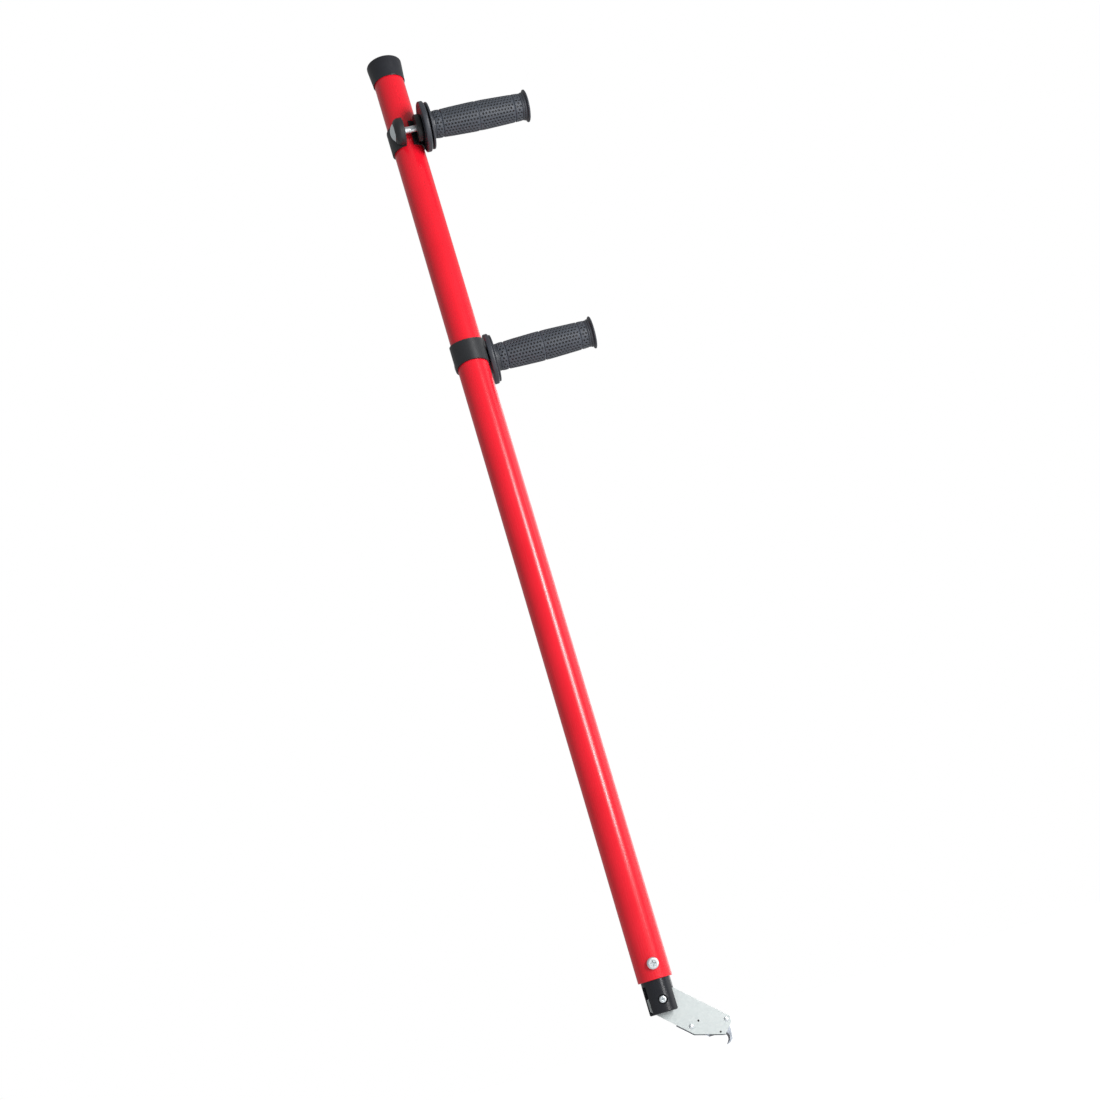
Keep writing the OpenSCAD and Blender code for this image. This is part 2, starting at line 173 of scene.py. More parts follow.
def soft_panel(name, turn, height, distance, width, tall, watts, aim=TOOL_MIDDLE, tint=(1, 1, 1)):
    """A soft rectangle of light; turn is degrees to the right of the camera, seen from the tool."""
    data = bpy.data.lights.new(name, "AREA")
    data.shape = "RECTANGLE"
    data.size = width
    data.size_y = tall
    data.energy = watts
    data.color = tint
    lamp = bpy.data.objects.new(name, data)
    toward_camera = math.atan2(camera.matrix_world[1][3], camera.matrix_world[0][3])
    angle = toward_camera + math.radians(turn)
    place = Vector((math.cos(angle) * distance, math.sin(angle) * distance, height))
    facing = (place - Vector((aim.x, aim.y, place.z if tall > 2 * width else aim.z))).to_track_quat("Z", "Y")
    lamp.matrix_world = Matrix.Translation(place) @ facing.to_matrix().to_4x4()
    lamp.visible_camera = False
    scene.collection.objects.link(lamp)
    return lamp


soft_panel("streak_strip", 42, 0.22, 1.5, 0.30, 0.95, 25)
soft_panel("right_panel", 100, 0.3, 2.2, 1.6, 2.2, 9)
soft_panel("back_edge", 145, 0.2, 2.2, 1.5, 2.4, 16)

# %% [markdown]
# ## Finishes
# A finish is more than a colour. Powder coat has a fine orange peel, plastic has a spark-eroded
# grain, zinc shows faint wiping marks, and galvanised sheet has pale spangles. All of them are
# built from the same few parts, so one helper makes the common ones: noise on the object's own
# coordinates varies the colour and the roughness, and a finer noise bends the surface a little.
# Object coordinates are metres here, so a noise scale of 1000 means one bump a millimetre.

# %% A helper for finishes
def new_finish(name, color, rough, metal=0.0, specular=0.5, coat=0.0, coat_rough=0.1):
    """A Principled finish with plain values on its own sockets; returns the material and its tree."""
    finish = bpy.data.materials.new(name)
    finish.use_nodes = True
    base = finish.node_tree.nodes["Principled BSDF"]
    base.inputs["Base Color"].default_value = (*color, 1)
    base.inputs["Roughness"].default_value = rough
    base.inputs["Metallic"].default_value = metal
    base.inputs["Specular IOR Level"].default_value = specular
    base.inputs["Coat Weight"].default_value = coat
    base.inputs["Coat Roughness"].default_value = coat_rough
    return finish, finish.node_tree, base


def object_noise(tree, scale, stretch=(1, 1, 1), detail=3.0, turn=(0, 0, 0)):
    """Noise on object coordinates; stretch above 1 makes it finer along that axis."""
    place = tree.nodes.new("ShaderNodeTexCoord")
    mapping = tree.nodes.new("ShaderNodeMapping")
    mapping.inputs["Scale"].default_value = stretch
    mapping.inputs["Rotation"].default_value = turn
    noise = tree.nodes.new("ShaderNodeTexNoise")
    noise.inputs["Scale"].default_value = scale
    noise.inputs["Detail"].default_value = detail
    tree.links.new(place.outputs["Object"], mapping.inputs["Vector"])
    tree.links.new(mapping.outputs[0], noise.inputs["Vector"])
    return noise.outputs["Fac"]


def ranged(tree, value, low, high, at=(0.3, 0.7)):
    """Maps a value from at[0]..at[1] to low..high, held at both ends."""
    node = tree.nodes.new("ShaderNodeMapRange")
    node.inputs["From Min"].default_value = at[0]
    node.inputs["From Max"].default_value = at[1]
    node.inputs["To Min"].default_value = low
    node.inputs["To Max"].default_value = high
    tree.links.new(value, node.inputs["Value"])
    return node.outputs["Result"]


def mixed_color(tree, factor, first, second):
    """Colour first where factor is 0, second where it is 1."""
    node = tree.nodes.new("ShaderNodeMix")
    node.data_type = "RGBA"
    for socket, color in (("A", first), ("B", second)):
        inlet = [s for s in node.inputs if s.name == socket and s.type == "RGBA"][0]
        if hasattr(color, "links"):
            tree.links.new(color, inlet)
        else:
            inlet.default_value = (*color, 1)
    tree.links.new(factor, [s for s in node.inputs if s.name == "Factor" and s.type == "VALUE"][0])
    return [s for s in node.outputs if s.type == "RGBA"][0]


def bumped(tree, base, height, depth_mm, strength=1.0):
    """Bends the normal as a relief of that many millimetres would."""
    bump = tree.nodes.new("ShaderNodeBump")
    bump.inputs["Distance"].default_value = depth_mm * MM
    bump.inputs["Strength"].default_value = strength
    tree.links.new(height, bump.inputs["Height"])
    tree.links.new(bump.outputs["Normal"], base.inputs["Normal"])


# %% Red powder coat
def red_powder_coat():
    """Deep red under a soft shine; long faint rub marks run along the tube where clamps have slid."""
    finish, tree, base = new_finish("red_powder_coat", (0.72, 0.007, 0.020), 0.30, specular=0.5)
    tone = ranged(tree, object_noise(tree, 14, detail=2), 0, 1)
    tree.links.new(mixed_color(tree, tone, (0.75, 0.006, 0.019), (0.81, 0.009, 0.024)),
                   base.inputs["Base Color"])
    rub = object_noise(tree, 700, stretch=(1, 1, 0.012), detail=4)
    tree.links.new(ranged(tree, rub, 0.22, 0.31, at=(0.35, 0.75)), base.inputs["Roughness"])
    bumped(tree, base, object_noise(tree, 900, detail=2), 0.02, 0.5)
    return finish


RED = red_powder_coat()


# %% Plastics
def moulded_plastic(name, color, rough, grain, depth_mm, tint=1.35, specular=0.5):
    """Dark moulding: cloudy tone, slightly uneven shine, and a spark-eroded grain of the mould."""
    finish, tree, base = new_finish(name, color, rough[0], specular=specular)
    lighter = tuple(min(1.0, c * tint) for c in color)
    tone = ranged(tree, object_noise(tree, 45, detail=4), 0, 1)
    tree.links.new(mixed_color(tree, tone, color, lighter), base.inputs["Base Color"])
    tree.links.new(ranged(tree, object_noise(tree, 160, detail=5), rough[0], rough[1]),
                   base.inputs["Roughness"])
    bumped(tree, base, object_noise(tree, grain, detail=3), depth_mm, 0.6)
    return finish


CAP_BLACK = moulded_plastic("cap_plastic", (0.011, 0.012, 0.016), (0.34, 0.44), 1600, 0.015)
SOCKET_BLACK = moulded_plastic("socket_plastic", (0.008, 0.009, 0.012), (0.20, 0.30), 700, 0.006)
CLAMP_BLACK = moulded_plastic("clamp_plastic", (0.013, 0.014, 0.016), (0.36, 0.48), 1400, 0.02)
DISC_GREY = moulded_plastic("guard_plastic", (0.030, 0.033, 0.041), (0.36, 0.48), 1500, 0.015)
CORE_GREY = moulded_plastic("core_plastic", (0.026, 0.029, 0.036), (0.32, 0.42), 1500, 0.015)
PIN_BLACK = moulded_plastic("pin_ends", (0.006, 0.006, 0.007), (0.40, 0.55), 1500, 0.01)


# %% Soft grip
def soft_grip():
    """Dull rubber; the value stored on the points is 1 at the bottom of a dimple and darkens it nearly to
    black, as painted shade in the dimples.
    """
    finish, tree, base = new_finish("sleeve_rubber", (0.046, 0.052, 0.064), 0.50)
    hollow_shade = tree.nodes.new("ShaderNodeAttribute")
    hollow_shade.attribute_name = "hollow_shade"
    tone = ranged(tree, object_noise(tree, 60, detail=4), 0, 1)
    worn = mixed_color(tree, tone, (0.046, 0.053, 0.066), (0.060, 0.068, 0.083))
    # Painted shade: the stored value darkens the dimple bottoms nearly to black.
    tree.links.new(mixed_color(tree, hollow_shade.outputs["Fac"], worn, (0.0022, 0.0025, 0.0035)),
                   base.inputs["Base Color"])
    tree.links.new(ranged(tree, object_noise(tree, 220, detail=4), 0.44, 0.58), base.inputs["Roughness"])
    bumped(tree, base, object_noise(tree, 2200, detail=3), 0.03, 0.6)
    return finish


SLEEVE_RUBBER = soft_grip()


# %% Metals
def wiped_metal(name, color, rough, marks, stretch, depth_mm=0.004, metal=1.0, turn=(0, 0, 0)):
    """Plated or rolled metal: fine streaks vary its shine, and a slow cloud varies its tone."""
    finish, tree, base = new_finish(name, color, rough[0], metal=metal)
    darker = tuple(c * 0.93 for c in color)
    tone = ranged(tree, object_noise(tree, 70, detail=4), 0, 1)
    tree.links.new(mixed_color(tree, tone, darker, color), base.inputs["Base Color"])
    streaks = object_noise(tree, marks, stretch=stretch, detail=5, turn=turn)
    tree.links.new(ranged(tree, streaks, rough[0], rough[1]), base.inputs["Roughness"])
    bumped(tree, base, streaks, depth_mm, 0.5)
    return finish


ZINC = wiped_metal("bright_zinc", (0.78, 0.83, 0.85), (0.26, 0.42), 900, (1, 1, 1))
# The cover plate's steel is darker than the holder plate in front of it: its dark tone is painted shade for the
# shadow the holder plate casts on it.
STEEL_PAINTED_SHADE = wiped_metal("cover_steel_painted_shade", (0.26, 0.27, 0.29), (0.34, 0.50), 700, (1, 1, 0.1))


def galvanised():
    """Zinc-dipped sheet: pale grey with faint crystal spangles a few millimetres across."""
    finish, tree, base = new_finish("galvanised_sheet", (0.54, 0.58, 0.58), 0.45, metal=0.35)
    place = tree.nodes.new("ShaderNodeTexCoord")
    spangle = tree.nodes.new("ShaderNodeTexVoronoi")
    spangle.inputs["Scale"].default_value = 420
    tree.links.new(place.outputs["Object"], spangle.inputs["Vector"])
    cell = tree.nodes.new("ShaderNodeSeparateColor")
    tree.links.new(spangle.outputs["Color"], cell.inputs["Color"])
    tone = ranged(tree, cell.outputs[0], 0, 1, at=(0, 1))
    tree.links.new(mixed_color(tree, tone, (0.555, 0.600, 0.595), (0.590, 0.630, 0.622)),
                   base.inputs["Base Color"])
    tree.links.new(ranged(tree, cell.outputs[1], 0.42, 0.50, at=(0, 1)), base.inputs["Roughness"])
    bumped(tree, base, object_noise(tree, 500, detail=4), 0.01, 0.5)
    return finish


GALVANISED = galvanised()


def ground_steel():
    """Blade steel; the stored 'ground' value is 1 on the bevel, which is darker and duller."""
    finish, tree, base = new_finish("blade_steel_ground", (0.56, 0.60, 0.66), 0.25, metal=0.9)
    ground = tree.nodes.new("ShaderNodeAttribute")
    ground.attribute_name = "ground"
    grind = object_noise(tree, 1500, stretch=(1, 1, 0.15), detail=4)
    face = mixed_color(tree, ranged(tree, grind, 0, 1), (0.50, 0.54, 0.60), (0.60, 0.64, 0.70))
    tree.links.new(mixed_color(tree, ground.outputs["Fac"], face, (0.16, 0.165, 0.175)),
                   base.inputs["Base Color"])
    tree.links.new(ranged(tree, grind, 0.22, 0.42), base.inputs["Roughness"])
    bumped(tree, base, grind, 0.004, 0.5)
    return finish


BLADE_STEEL = ground_steel()
print("finishes:", len(bpy.data.materials))

# %% [markdown]
# ## Shapes from arrays
# Nearly every part of this tool was turned on a lathe or moulded round an axis, so most pieces
# are a profile carried round that axis. A profile is a short list of corners. Real corners are
# never sharp, so one helper replaces each corner by a small arc, another spins the result, and a
# third places it in the frame. All of it is done on whole arrays.

# %% Profiles with soft corners
def soft_corners(corners, closed, steps=5):
    """Corners are (t, r, ease). At a corner whose sides meet at angle w, the arc of radius ease starts
    ease / tan(w / 2) before it and ends as far behind it, and its centre lies ease / sin(w / 2)
    along the line that halves the angle."""
    point = np.array([c[:2] for c in corners], float)
    pieces = []
    last = len(corners) - 1
    for i, (here, corner) in enumerate(zip(point, corners)):
        if corner[2] == 0 or (not closed and i in (0, last)):
            pieces.append(here[None])
            continue
        back = point[i - 1] - here
        ahead = point[(i + 1) % len(corners)] - here
        reach = min(np.linalg.norm(back), np.linalg.norm(ahead)) * 0.49
        back, ahead = back / np.linalg.norm(back), ahead / np.linalg.norm(ahead)
        half = math.acos(np.clip(back @ ahead, -1, 1)) / 2
        cut = min(corner[2] / math.tan(half), reach)
        radius = cut * math.tan(half)
        middle = back + ahead
        centre = here + middle / np.linalg.norm(middle) * radius / math.sin(half)
        start, end = here + back * cut - centre, here + ahead * cut - centre
        sweep = math.pi - 2 * half
        s = np.linspace(0, 1, steps)[:, None]
        pieces.append(centre + (np.sin((1 - s) * sweep) * start + np.sin(s * sweep) * end) / math.sin(sweep))
    return np.concatenate(pieces)


def turned(profile, steps=144):
    """Spins a profile: point (t, r) becomes the ring (t, r cos a, r sin a), with a from 0 to 2 pi."""
    t, r = np.asarray(profile, float).T[:, :, None]
    a = np.linspace(0, 2 * np.pi, steps, endpoint=False)
    return np.stack([t + 0 * a, r * np.cos(a), r * np.sin(a)], -1)


def placed(points, origin, axis):
    """Local (t, y, z) goes to origin + t * axis + y * across + z * upward; all in millimetres."""
    ahead = np.array(axis, float) / np.linalg.norm(axis)
    guide = np.array([0, 0, 1.0]) if abs(ahead[2]) < 0.9 else np.array([0, -1.0, 0])
    across = np.cross(guide, ahead)
    across /= np.linalg.norm(across)
    upward = np.cross(ahead, across)
    return np.asarray(origin, float) + points @ np.stack([ahead, across, upward])


# %% From a grid of points to a piece
def grid_faces(rows, cols, closed_rows, first=0):
    """Quads between neighbours of a rows x cols grid whose columns always close on themselves."""
    i = np.arange(rows if closed_rows else rows - 1)[:, None]
    j = np.arange(cols)[None]
    up, along = (i + 1) % rows, (j + 1) % cols
    quads = np.stack([i * cols + j, i * cols + along, up * cols + along, up * cols + j], -1)
    return quads.reshape(-1, 4) + first


def finished(name, mesh, body, material, replaced, sharp=32):
    """Puts the mesh in the scene with its finish and body, and hides the solids that it stands for."""
    mesh.polygons.foreach_set("use_smooth", np.ones(len(mesh.polygons), bool))
    mesh.set_sharp_from_angle(angle=math.radians(sharp))
    mesh.materials.clear()
    mesh.materials.append(material)
    piece = bpy.data.objects.new(name, mesh)
    scene.collection.objects.link(piece)
    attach(piece, body)
    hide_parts(*replaced)
    print(f"{name}: {len(mesh.vertices)} points, {len(mesh.polygons)} faces, rides on {body}")
    return piece


def solid_mesh(name, points_mm, faces, values=None):
    """Points and faces become a mesh; poles are merged and the faces turned outwards."""
    mesh = bpy.data.meshes.new(name)
    mesh.from_pydata((points_mm.reshape(-1, 3) * MM).tolist(), [], faces.tolist())
    if values:
        layer = mesh.attributes.new(values[0], "FLOAT", "POINT")
        layer.data.foreach_set("value", np.asarray(values[1], np.float32).ravel())
    work = bmesh.new()
    work.from_mesh(mesh)
    bmesh.ops.remove_doubles(work, verts=work.verts, dist=1e-7)
    bmesh.ops.recalc_face_normals(work, faces=work.faces)
    work.to_mesh(mesh)
    work.free()
    return mesh


def turned_piece(name, corners, origin, axis, body, material, replaced, closed=False, steps=144):
    """A whole piece from a profile's corners."""
    ring = placed(turned(soft_corners(corners, closed), steps), origin, axis)
    mesh = solid_mesh(name, ring, grid_faces(ring.shape[0], steps, closed))
    return finished(name, mesh, body, material, replaced)


# %% [markdown]
# ## Tube and end cap
# The tube is one closed profile: outside, lower rim, bore, upper rim. Its cut ends are broken by
# half a millimetre, which is what gives the red edge its thin bright line. The cap is a thick
# moulding that is pushed over the tube's upper end. It widens a little upwards, because a mould
# needs that to let go, its shoulder is round, and its lower lip has a small bead.

# %% Tube
TUBE_LOW, TUBE_HIGH = (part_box("main_tube")[k].z / MM for k in (0, 1))
TUBE_R, BORE_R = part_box("main_tube")[1].x / MM, 15.0
tube_corners = [
    (TUBE_LOW, BORE_R, 0.4), (TUBE_LOW, TUBE_R, 0.6), (TUBE_HIGH, TUBE_R, 0.6), (TUBE_HIGH, BORE_R, 0.4),
]
turned_piece("tube_coat", tube_corners, (0, 0, 0), (0, 0, 1), "tube", RED,
             ["main_tube"], closed=True)
print("tube from", round(TUBE_LOW, 1), "to", round(TUBE_HIGH, 1), "mm, radius", round(TUBE_R, 2))

# %% End cap
CAP_LOW, CAP_TOP = (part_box("end_cap")[k].z / MM for k in (0, 1))
CAP_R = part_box("end_cap")[1].x / MM
cap_corners = [
    (CAP_TOP - 3, 0, 0), (CAP_TOP - 3, TUBE_R + 0.06, 0.8), (CAP_LOW + 0.4, TUBE_R + 0.06, 0),
    (CAP_LOW, TUBE_R + 0.45, 0.2), (CAP_LOW, TUBE_R + 1.15, 0.35), (CAP_LOW + 1.0, TUBE_R + 1.32, 0.5),
    (CAP_LOW + 1.8, TUBE_R + 1.2, 0.5), (CAP_TOP - 3.4, CAP_R - 0.05, 1.5), (CAP_TOP, CAP_R, 3.2),
    (CAP_TOP, 15.5, 1.0), (CAP_TOP - 0.45, 14.2, 1.0), (CAP_TOP - 0.45, 1.6, 0.3), (CAP_TOP - 0.9, 1.2, 0.2),
    (CAP_TOP - 0.9, 0, 0),
]
turned_piece("cap_moulded", cap_corners, (0, 0, 0), (0, 0, 1), "tube", CAP_BLACK, ["end_cap"])

# %% [markdown]
# ## Parts that are cut, not turned
# The socket, the clamps, the plates and the screw heads were shaped by cutting, and their solids
# already have the right form. Their edges are the only thing to add. A copy of each solid's mesh
# is merged, its flat areas are joined into single faces, and a Bevel modifier breaks the edges.
# A Weighted Normal modifier then keeps the large faces flat and lets only the broken edge turn.

# %% Copies with broken edges
def eased_copy(node, name, body, material, width_mm, segments=3, sharp=34):
    """The solid's own shape, merged, with every edge sharper than the limit broken by width_mm."""
    mesh = frame["nodes"][node].data.copy()
    mesh.name = name
    work = bmesh.new()
    work.from_mesh(mesh)
    bmesh.ops.remove_doubles(work, verts=work.verts, dist=2e-6)
    bmesh.ops.dissolve_limit(work, angle_limit=math.radians(0.6), verts=work.verts, edges=work.edges)
    work.to_mesh(mesh)
    work.free()
    piece = finished(name, mesh, body, material, [node], sharp=180)
    edge = piece.modifiers.new("broken_edge", "BEVEL")
    edge.width = width_mm * MM
    edge.segments = segments
    edge.limit_method = "ANGLE"
    edge.angle_limit = math.radians(sharp)
    edge.harden_normals = False
    edge.use_clamp_overlap = True
    weight = piece.modifiers.new("flat_faces", "WEIGHTED_NORMAL")
    weight.keep_sharp = False
    weight.weight = 90
    return piece


eased_copy("socket", "socket_moulded", "tube", SOCKET_BLACK, 0.45)
eased_copy("holder_plate", "plate_blank", "holder", GALVANISED, 0.22)
# The cover plate takes the darkened steel: its dark tone is painted shade.
eased_copy("cover_plate", "cover_blank", "cover", STEEL_PAINTED_SHADE, 0.18)
eased_copy("tube_screw", "tube_screw_head", "tube", ZINC, 0.12, 2)
eased_copy("pivot_screw", "pivot_screw_head", "tube", ZINC, 0.12, 2)
eased_copy("cover_screws", "cover_screw_heads", "cover", ZINC, 0.12, 2)
for handle in ("upper", "lower"):
    eased_copy(handle + "_clamp", handle + "_clamp_moulded", handle + "_clamp", CLAMP_BLACK, 0.5)

# %% Small solids that keep their own mesh
# The pivot spacer takes the same steel, whose dark tone is painted shade.
for node, material in (("pivot_spacer", STEEL_PAINTED_SHADE), ("locating_pins", PIN_BLACK)):
    mesh = frame["nodes"][node].data
    mesh.materials.clear()
    mesh.materials.append(material)
    print(node, "keeps its mesh and takes", material.name)

# %% [markdown]
# ## Handle hardware
# Each side handle is a bolt, a loose guard disc and a grip, all turned about the bolt's axis. The
# joint that turns the grip gives that axis, so the same profiles serve both handles: t runs along
# the axis from the tube's middle outwards. On the lower handle the guard disc sits the other way
# round, with its boss towards the clamp.

# %% Stations along a handle
DISC_START, DISC_T, DISC_R, BOSS = 18.2, 6.0, 28.5, 2.0
GRIP_START = DISC_START + DISC_T + BOSS
GRIP_LONG, GRIP_R, NECK_R = 116.0, 16.3, 15.3
SLEEVE_START, SLEEVE_END = GRIP_START + 6.1, GRIP_START + GRIP_LONG - 8.2
BOLT_R, HEAD_R, HEAD_H, HEAD_SEAT = 4.0, 10.0, 4.4, -14.3
handles = {}
for handle in ("upper", "lower"):
    joint = joints[handle + "_grip_turn"]
    handles[handle] = (np.array(joint["pos_m"]) / MM, joint["axis"])
    print(handle, "handle: axis through", handles[handle][0].round(1), "along", np.round(handles[handle][1], 3))

# %% Guard discs
disc_profile = [
    (0, 4.1, 0.2), (0, 17.5, 0.6), (0.5, 18.6, 0.8), (0.5, 24.2, 0.8), (0, 25.4, 0.8), (0, DISC_R, 2.6),
    (DISC_T, DISC_R, 2.6), (DISC_T, 25.2, 0.8), (5.5, 24.0, 0.8), (5.5, 16.6, 0.6), (DISC_T + BOSS, 15.0, 0.4),
    (DISC_T + BOSS, 4.1, 0.2),
]
for handle, (origin, axis) in handles.items():
    if handle == "upper":
        corners = [(DISC_START + t, r, ease) for t, r, ease in disc_profile]
    else:
        corners = [(GRIP_START - t, r, ease) for t, r, ease in disc_profile]
    turned_piece(handle + "_guard", corners, origin, axis, handle + "_disc", DISC_GREY,
                 [handle + "_disc"], closed=True)

# %% [markdown]
# The grip's hard core shows at both ends: a thin flange and a smooth neck next to the disc, and
# two ribs and a rolled end flange at the far end. Between them it is hidden by the sleeve.

# %% Grip cores
end = GRIP_LONG
core_profile = [
    (40, 0, 0), (40, 4.1, 0.5), (0, 4.1, 0.4), (0, 26.5, 0.6), (2.4, 26.5, 0.8), (2.4, NECK_R, 1.2),
    (6.1, NECK_R, 0.3), (6.1, 12.1, 0), (end - 8.2, 12.1, 0), (end - 8.2, 15.0, 0.4), (end - 6.4, 15.2, 0.4),
    (end - 6.2, 15.1, 0.3), (end - 5.4, 15.1, 0.3), (end - 5.2, 15.8, 0.4), (end - 3.2, 15.8, 0.6),
    (end - 3.0, 16.2, 0.6), (end - 1.9, 18.3, 0.5), (end - 0.7, 18.5, 0.5), (end, 17.4, 0.5),
    (end, 12.6, 0.8), (end - 0.7, 11.6, 0.6), (end - 0.7, 2.0, 0.4), (end - 1.2, 1.4, 0.2), (end - 1.2, 0, 0),
]
for handle, (origin, axis) in handles.items():
    corners = [(GRIP_START + t, r, ease) for t, r, ease in core_profile]
    turned_piece(handle + "_grip_core", corners, origin, axis, handle + "_grip", CORE_GREY,
                 [handle + "_core"])

# %% [markdown]
# The bolt is a domed head, a square neck that keeps it from turning in the clamp, a plain shank,
# and a thread. All of that is one formula for the radius: the neck's square is
# r = side / max(|cos a|, |sin a|), and the thread is a wave that climbs one pitch in each turn.

# %% Clamp bolts
def bolt_points(steps=64):
    """Rows along the bolt: dome, seat, square neck, shank and thread, each with its own radius."""
    a = np.linspace(0, 2 * np.pi, steps, endpoint=False)[None]
    ball = (HEAD_R ** 2 + HEAD_H ** 2) / (2 * HEAD_H)
    tilt = np.linspace(0, math.asin((HEAD_R - 0.35) / ball), 14)[:, None]
    dome = (HEAD_SEAT - HEAD_H + ball - ball * np.cos(tilt) + 0 * a, ball * np.sin(tilt) + 0 * a)
    rim_t = HEAD_SEAT - np.array([0.28, 0.12, 0, 0])[:, None]
    rim_r = np.array([HEAD_R - 0.08, HEAD_R - 0.1, HEAD_R - 0.3, BOLT_R])[:, None]
    neck_t = HEAD_SEAT + np.array([0, 4.6, 5.0])[:, None]
    square = BOLT_R / np.maximum(np.abs(np.cos(a)), np.abs(np.sin(a)))
    neck_r = np.concatenate([square, square, np.full_like(square, BOLT_R)])
    thread_end = GRIP_START + 32
    shank_t = np.concatenate([[HEAD_SEAT + 5.2], np.arange(DISC_START, thread_end - 0.8, 0.15)])[:, None]
    wave = 0.5 - 0.5 * np.cos(2 * np.pi * (shank_t / 1.25) - a)
    fade = np.clip((shank_t - DISC_START) / 2, 0, 1)
    shank_r = BOLT_R - 0.02 - 0.42 * fade * wave
    tip_t = np.array([thread_end - 0.7, thread_end, thread_end])[:, None]
    tip_r = np.array([BOLT_R - 0.45, BOLT_R - 1.0, 0])[:, None]
    parts = [dome, (rim_t, rim_r), (neck_t, neck_r), (shank_t, shank_r), (tip_t, tip_r)]
    t = np.concatenate([p[0] + 0 * a for p in parts])
    r = np.concatenate([p[1] + 0 * a for p in parts])
    return np.stack([t, r * np.cos(a), r * np.sin(a)], -1)


for handle, (origin, axis) in handles.items():
    points = placed(bolt_points(), origin, axis)
    mesh = solid_mesh(handle + "_clamp_bolt", points, grid_faces(points.shape[0], points.shape[1], False))
    finished(handle + "_clamp_bolt", mesh, handle + "_clamp", ZINC, [handle + "_bolt"])

# %% [markdown]
# ## The dimpled sleeve
# The soft sleeve carries straight rows of small round hollows along its length. Each row is
# shifted by half a step against its neighbours, so that the hollows nest. Three grooves part the
# sleeve into bands, and each band is a little crowned. It is one height field: the distance to
# the nearest hollow's middle gives the depth, and the same number is stored on the points, so
# that the finish can darken the hollows nearly to black as painted shade.

# %% Where the hollows sit
STEP_ALONG, ROWS_ROUND, DIMPLE_R, DIMPLE_DEEP = 3.7, 26, 1.12, 0.8
CROWN_AT = GRIP_START + np.array([6, 10, 14, 26, 38, 50, 56, 58, 64, 82, 94, 99, 103, 107.8])
CROWN_R = np.array([15.3, 15.8, 15.6, 16.2, 16.5, 16.8, 16.8, 16.6, 16.7, 16.2, 15.8, 15.6, 15.5, 15.2])
GROOVES = np.array([GRIP_START + 14.6, GRIP_START + 56.8, GRIP_START + 99.4])
BAND_MIDDLES = np.array([GRIP_START + 10.0, GRIP_START + 35.7, GRIP_START + 78.1, GRIP_START + 104.1])


def row_stations(counts):
    """Stations of one row: each band holds that many hollows, one step apart and centred in the band."""
    return np.concatenate([m + (np.arange(n) - (n - 1) / 2) * STEP_ALONG for m, n in zip(BAND_MIDDLES, counts)])


EVEN_ROW, ODD_ROW = row_stations((1, 11, 11, 1)), row_stations((2, 10, 10, 2))
print((len(EVEN_ROW) + len(ODD_ROW)) * ROWS_ROUND // 2, "hollows on each sleeve")


# %% Sleeve as a height field
def sleeve_surface(first_row, steps=ROWS_ROUND * 10):
    """Rows of outer points from end to end, then the bore, and the painted-shade value of each point.
    Outer radius = crowned radius - groove - depth * dimple, where dimple is a smooth step of the
    distance to the nearest middle, and groove is a rounded notch at three stations."""
    t = np.linspace(SLEEVE_START, SLEEVE_END, 301)[:, None]
    a = np.linspace(0, 2 * np.pi, steps, endpoint=False)[None]
    turn = 2 * np.pi / ROWS_ROUND
    row = np.round((a - first_row) / turn)
    off_round = (a - first_row - row * turn) * GRIP_R
    off_even, off_odd = (np.abs(t - stations).min(1)[:, None] for stations in (EVEN_ROW, ODD_ROW))
    distance = np.hypot(np.where(row % 2 == 0, off_even, off_odd), off_round)
    s = np.clip((DIMPLE_R + 0.12 - distance) / 0.45, 0, 1)
    dimple = s * s * (3 - 2 * s)
    groove = np.clip(1.15 - np.abs(t - GROOVES).min(1)[:, None] / 0.85, 0, 1)
    fall = np.clip(1 - np.minimum(t - SLEEVE_START, SLEEVE_END - t) / 0.7, 0, 1)
    crowned = np.interp(t, CROWN_AT, CROWN_R)
    r = crowned - 0.9 * groove - DIMPLE_DEEP * dimple - 0.6 * (1 - np.sqrt(1 - fall ** 2))
    inner = np.full((2, steps), 12.15)
    r = np.concatenate([r, inner])
    t = np.concatenate([t + 0 * a, np.array([[SLEEVE_END], [SLEEVE_START]]) + 0 * a])
    # The stored value darkens the dimple bottoms in the finish: painted shade.
    stored = np.concatenate([np.clip(dimple * 1.5 - 0.1, 0, 1), 0 * inner])
    return np.stack([t, r * np.cos(a), r * np.sin(a)], -1), stored


for handle, (origin, axis) in handles.items():
    surface, hollow_shade = sleeve_surface(math.radians({"upper": 0.3, "lower": 19.6}[handle]))
    points = placed(surface, origin, axis)
    faces = grid_faces(points.shape[0], points.shape[1], True)
    mesh = solid_mesh(handle + "_grip_sleeve", points, faces, ("hollow_shade", hollow_shade))
    finished(handle + "_grip_sleeve", mesh, handle + "_grip", SLEEVE_RUBBER, [handle + "_sleeve"])

# %% [markdown]
# ## The hook blade
# The blade is a thin symmetrical sheet with a hook at each end, so that it can be turned round
# when one end is blunt. Its outline is worked out in the holder's own length u and height v, and
# both notches are ground to an edge. Carrying the outline through the thickness with a different
# inset at each point gives the bevel: wide along the notch, almost nothing elsewhere.

# %% Blade outline
HOLDER_TILT = math.radians(42)
PIVOT_Z = joints["holder_swing"]["pos_m"][2] / MM
BLADE_MIDDLE, HALF, TOP, DROP = 53.0, 25.3, 8.2, 10.8
BLADE_FRONT, BLADE_BACK = (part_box("hook_blade")[k].y / MM for k in (0, 1))


def arc(centre, radius, start, stop, count):
    """Points on a circle from start to stop degrees."""
    a = np.radians(np.linspace(start, stop, count))
    return np.stack([centre[0] + radius * np.cos(a), centre[1] + radius * np.sin(a)], -1)


def line(start, stop, count):
    """Evenly spaced points, the last one left out."""
    s = np.linspace(0, 1, count, endpoint=False)[:, None]
    return (1 - s) * np.array(start, float) + s * np.array(stop, float)


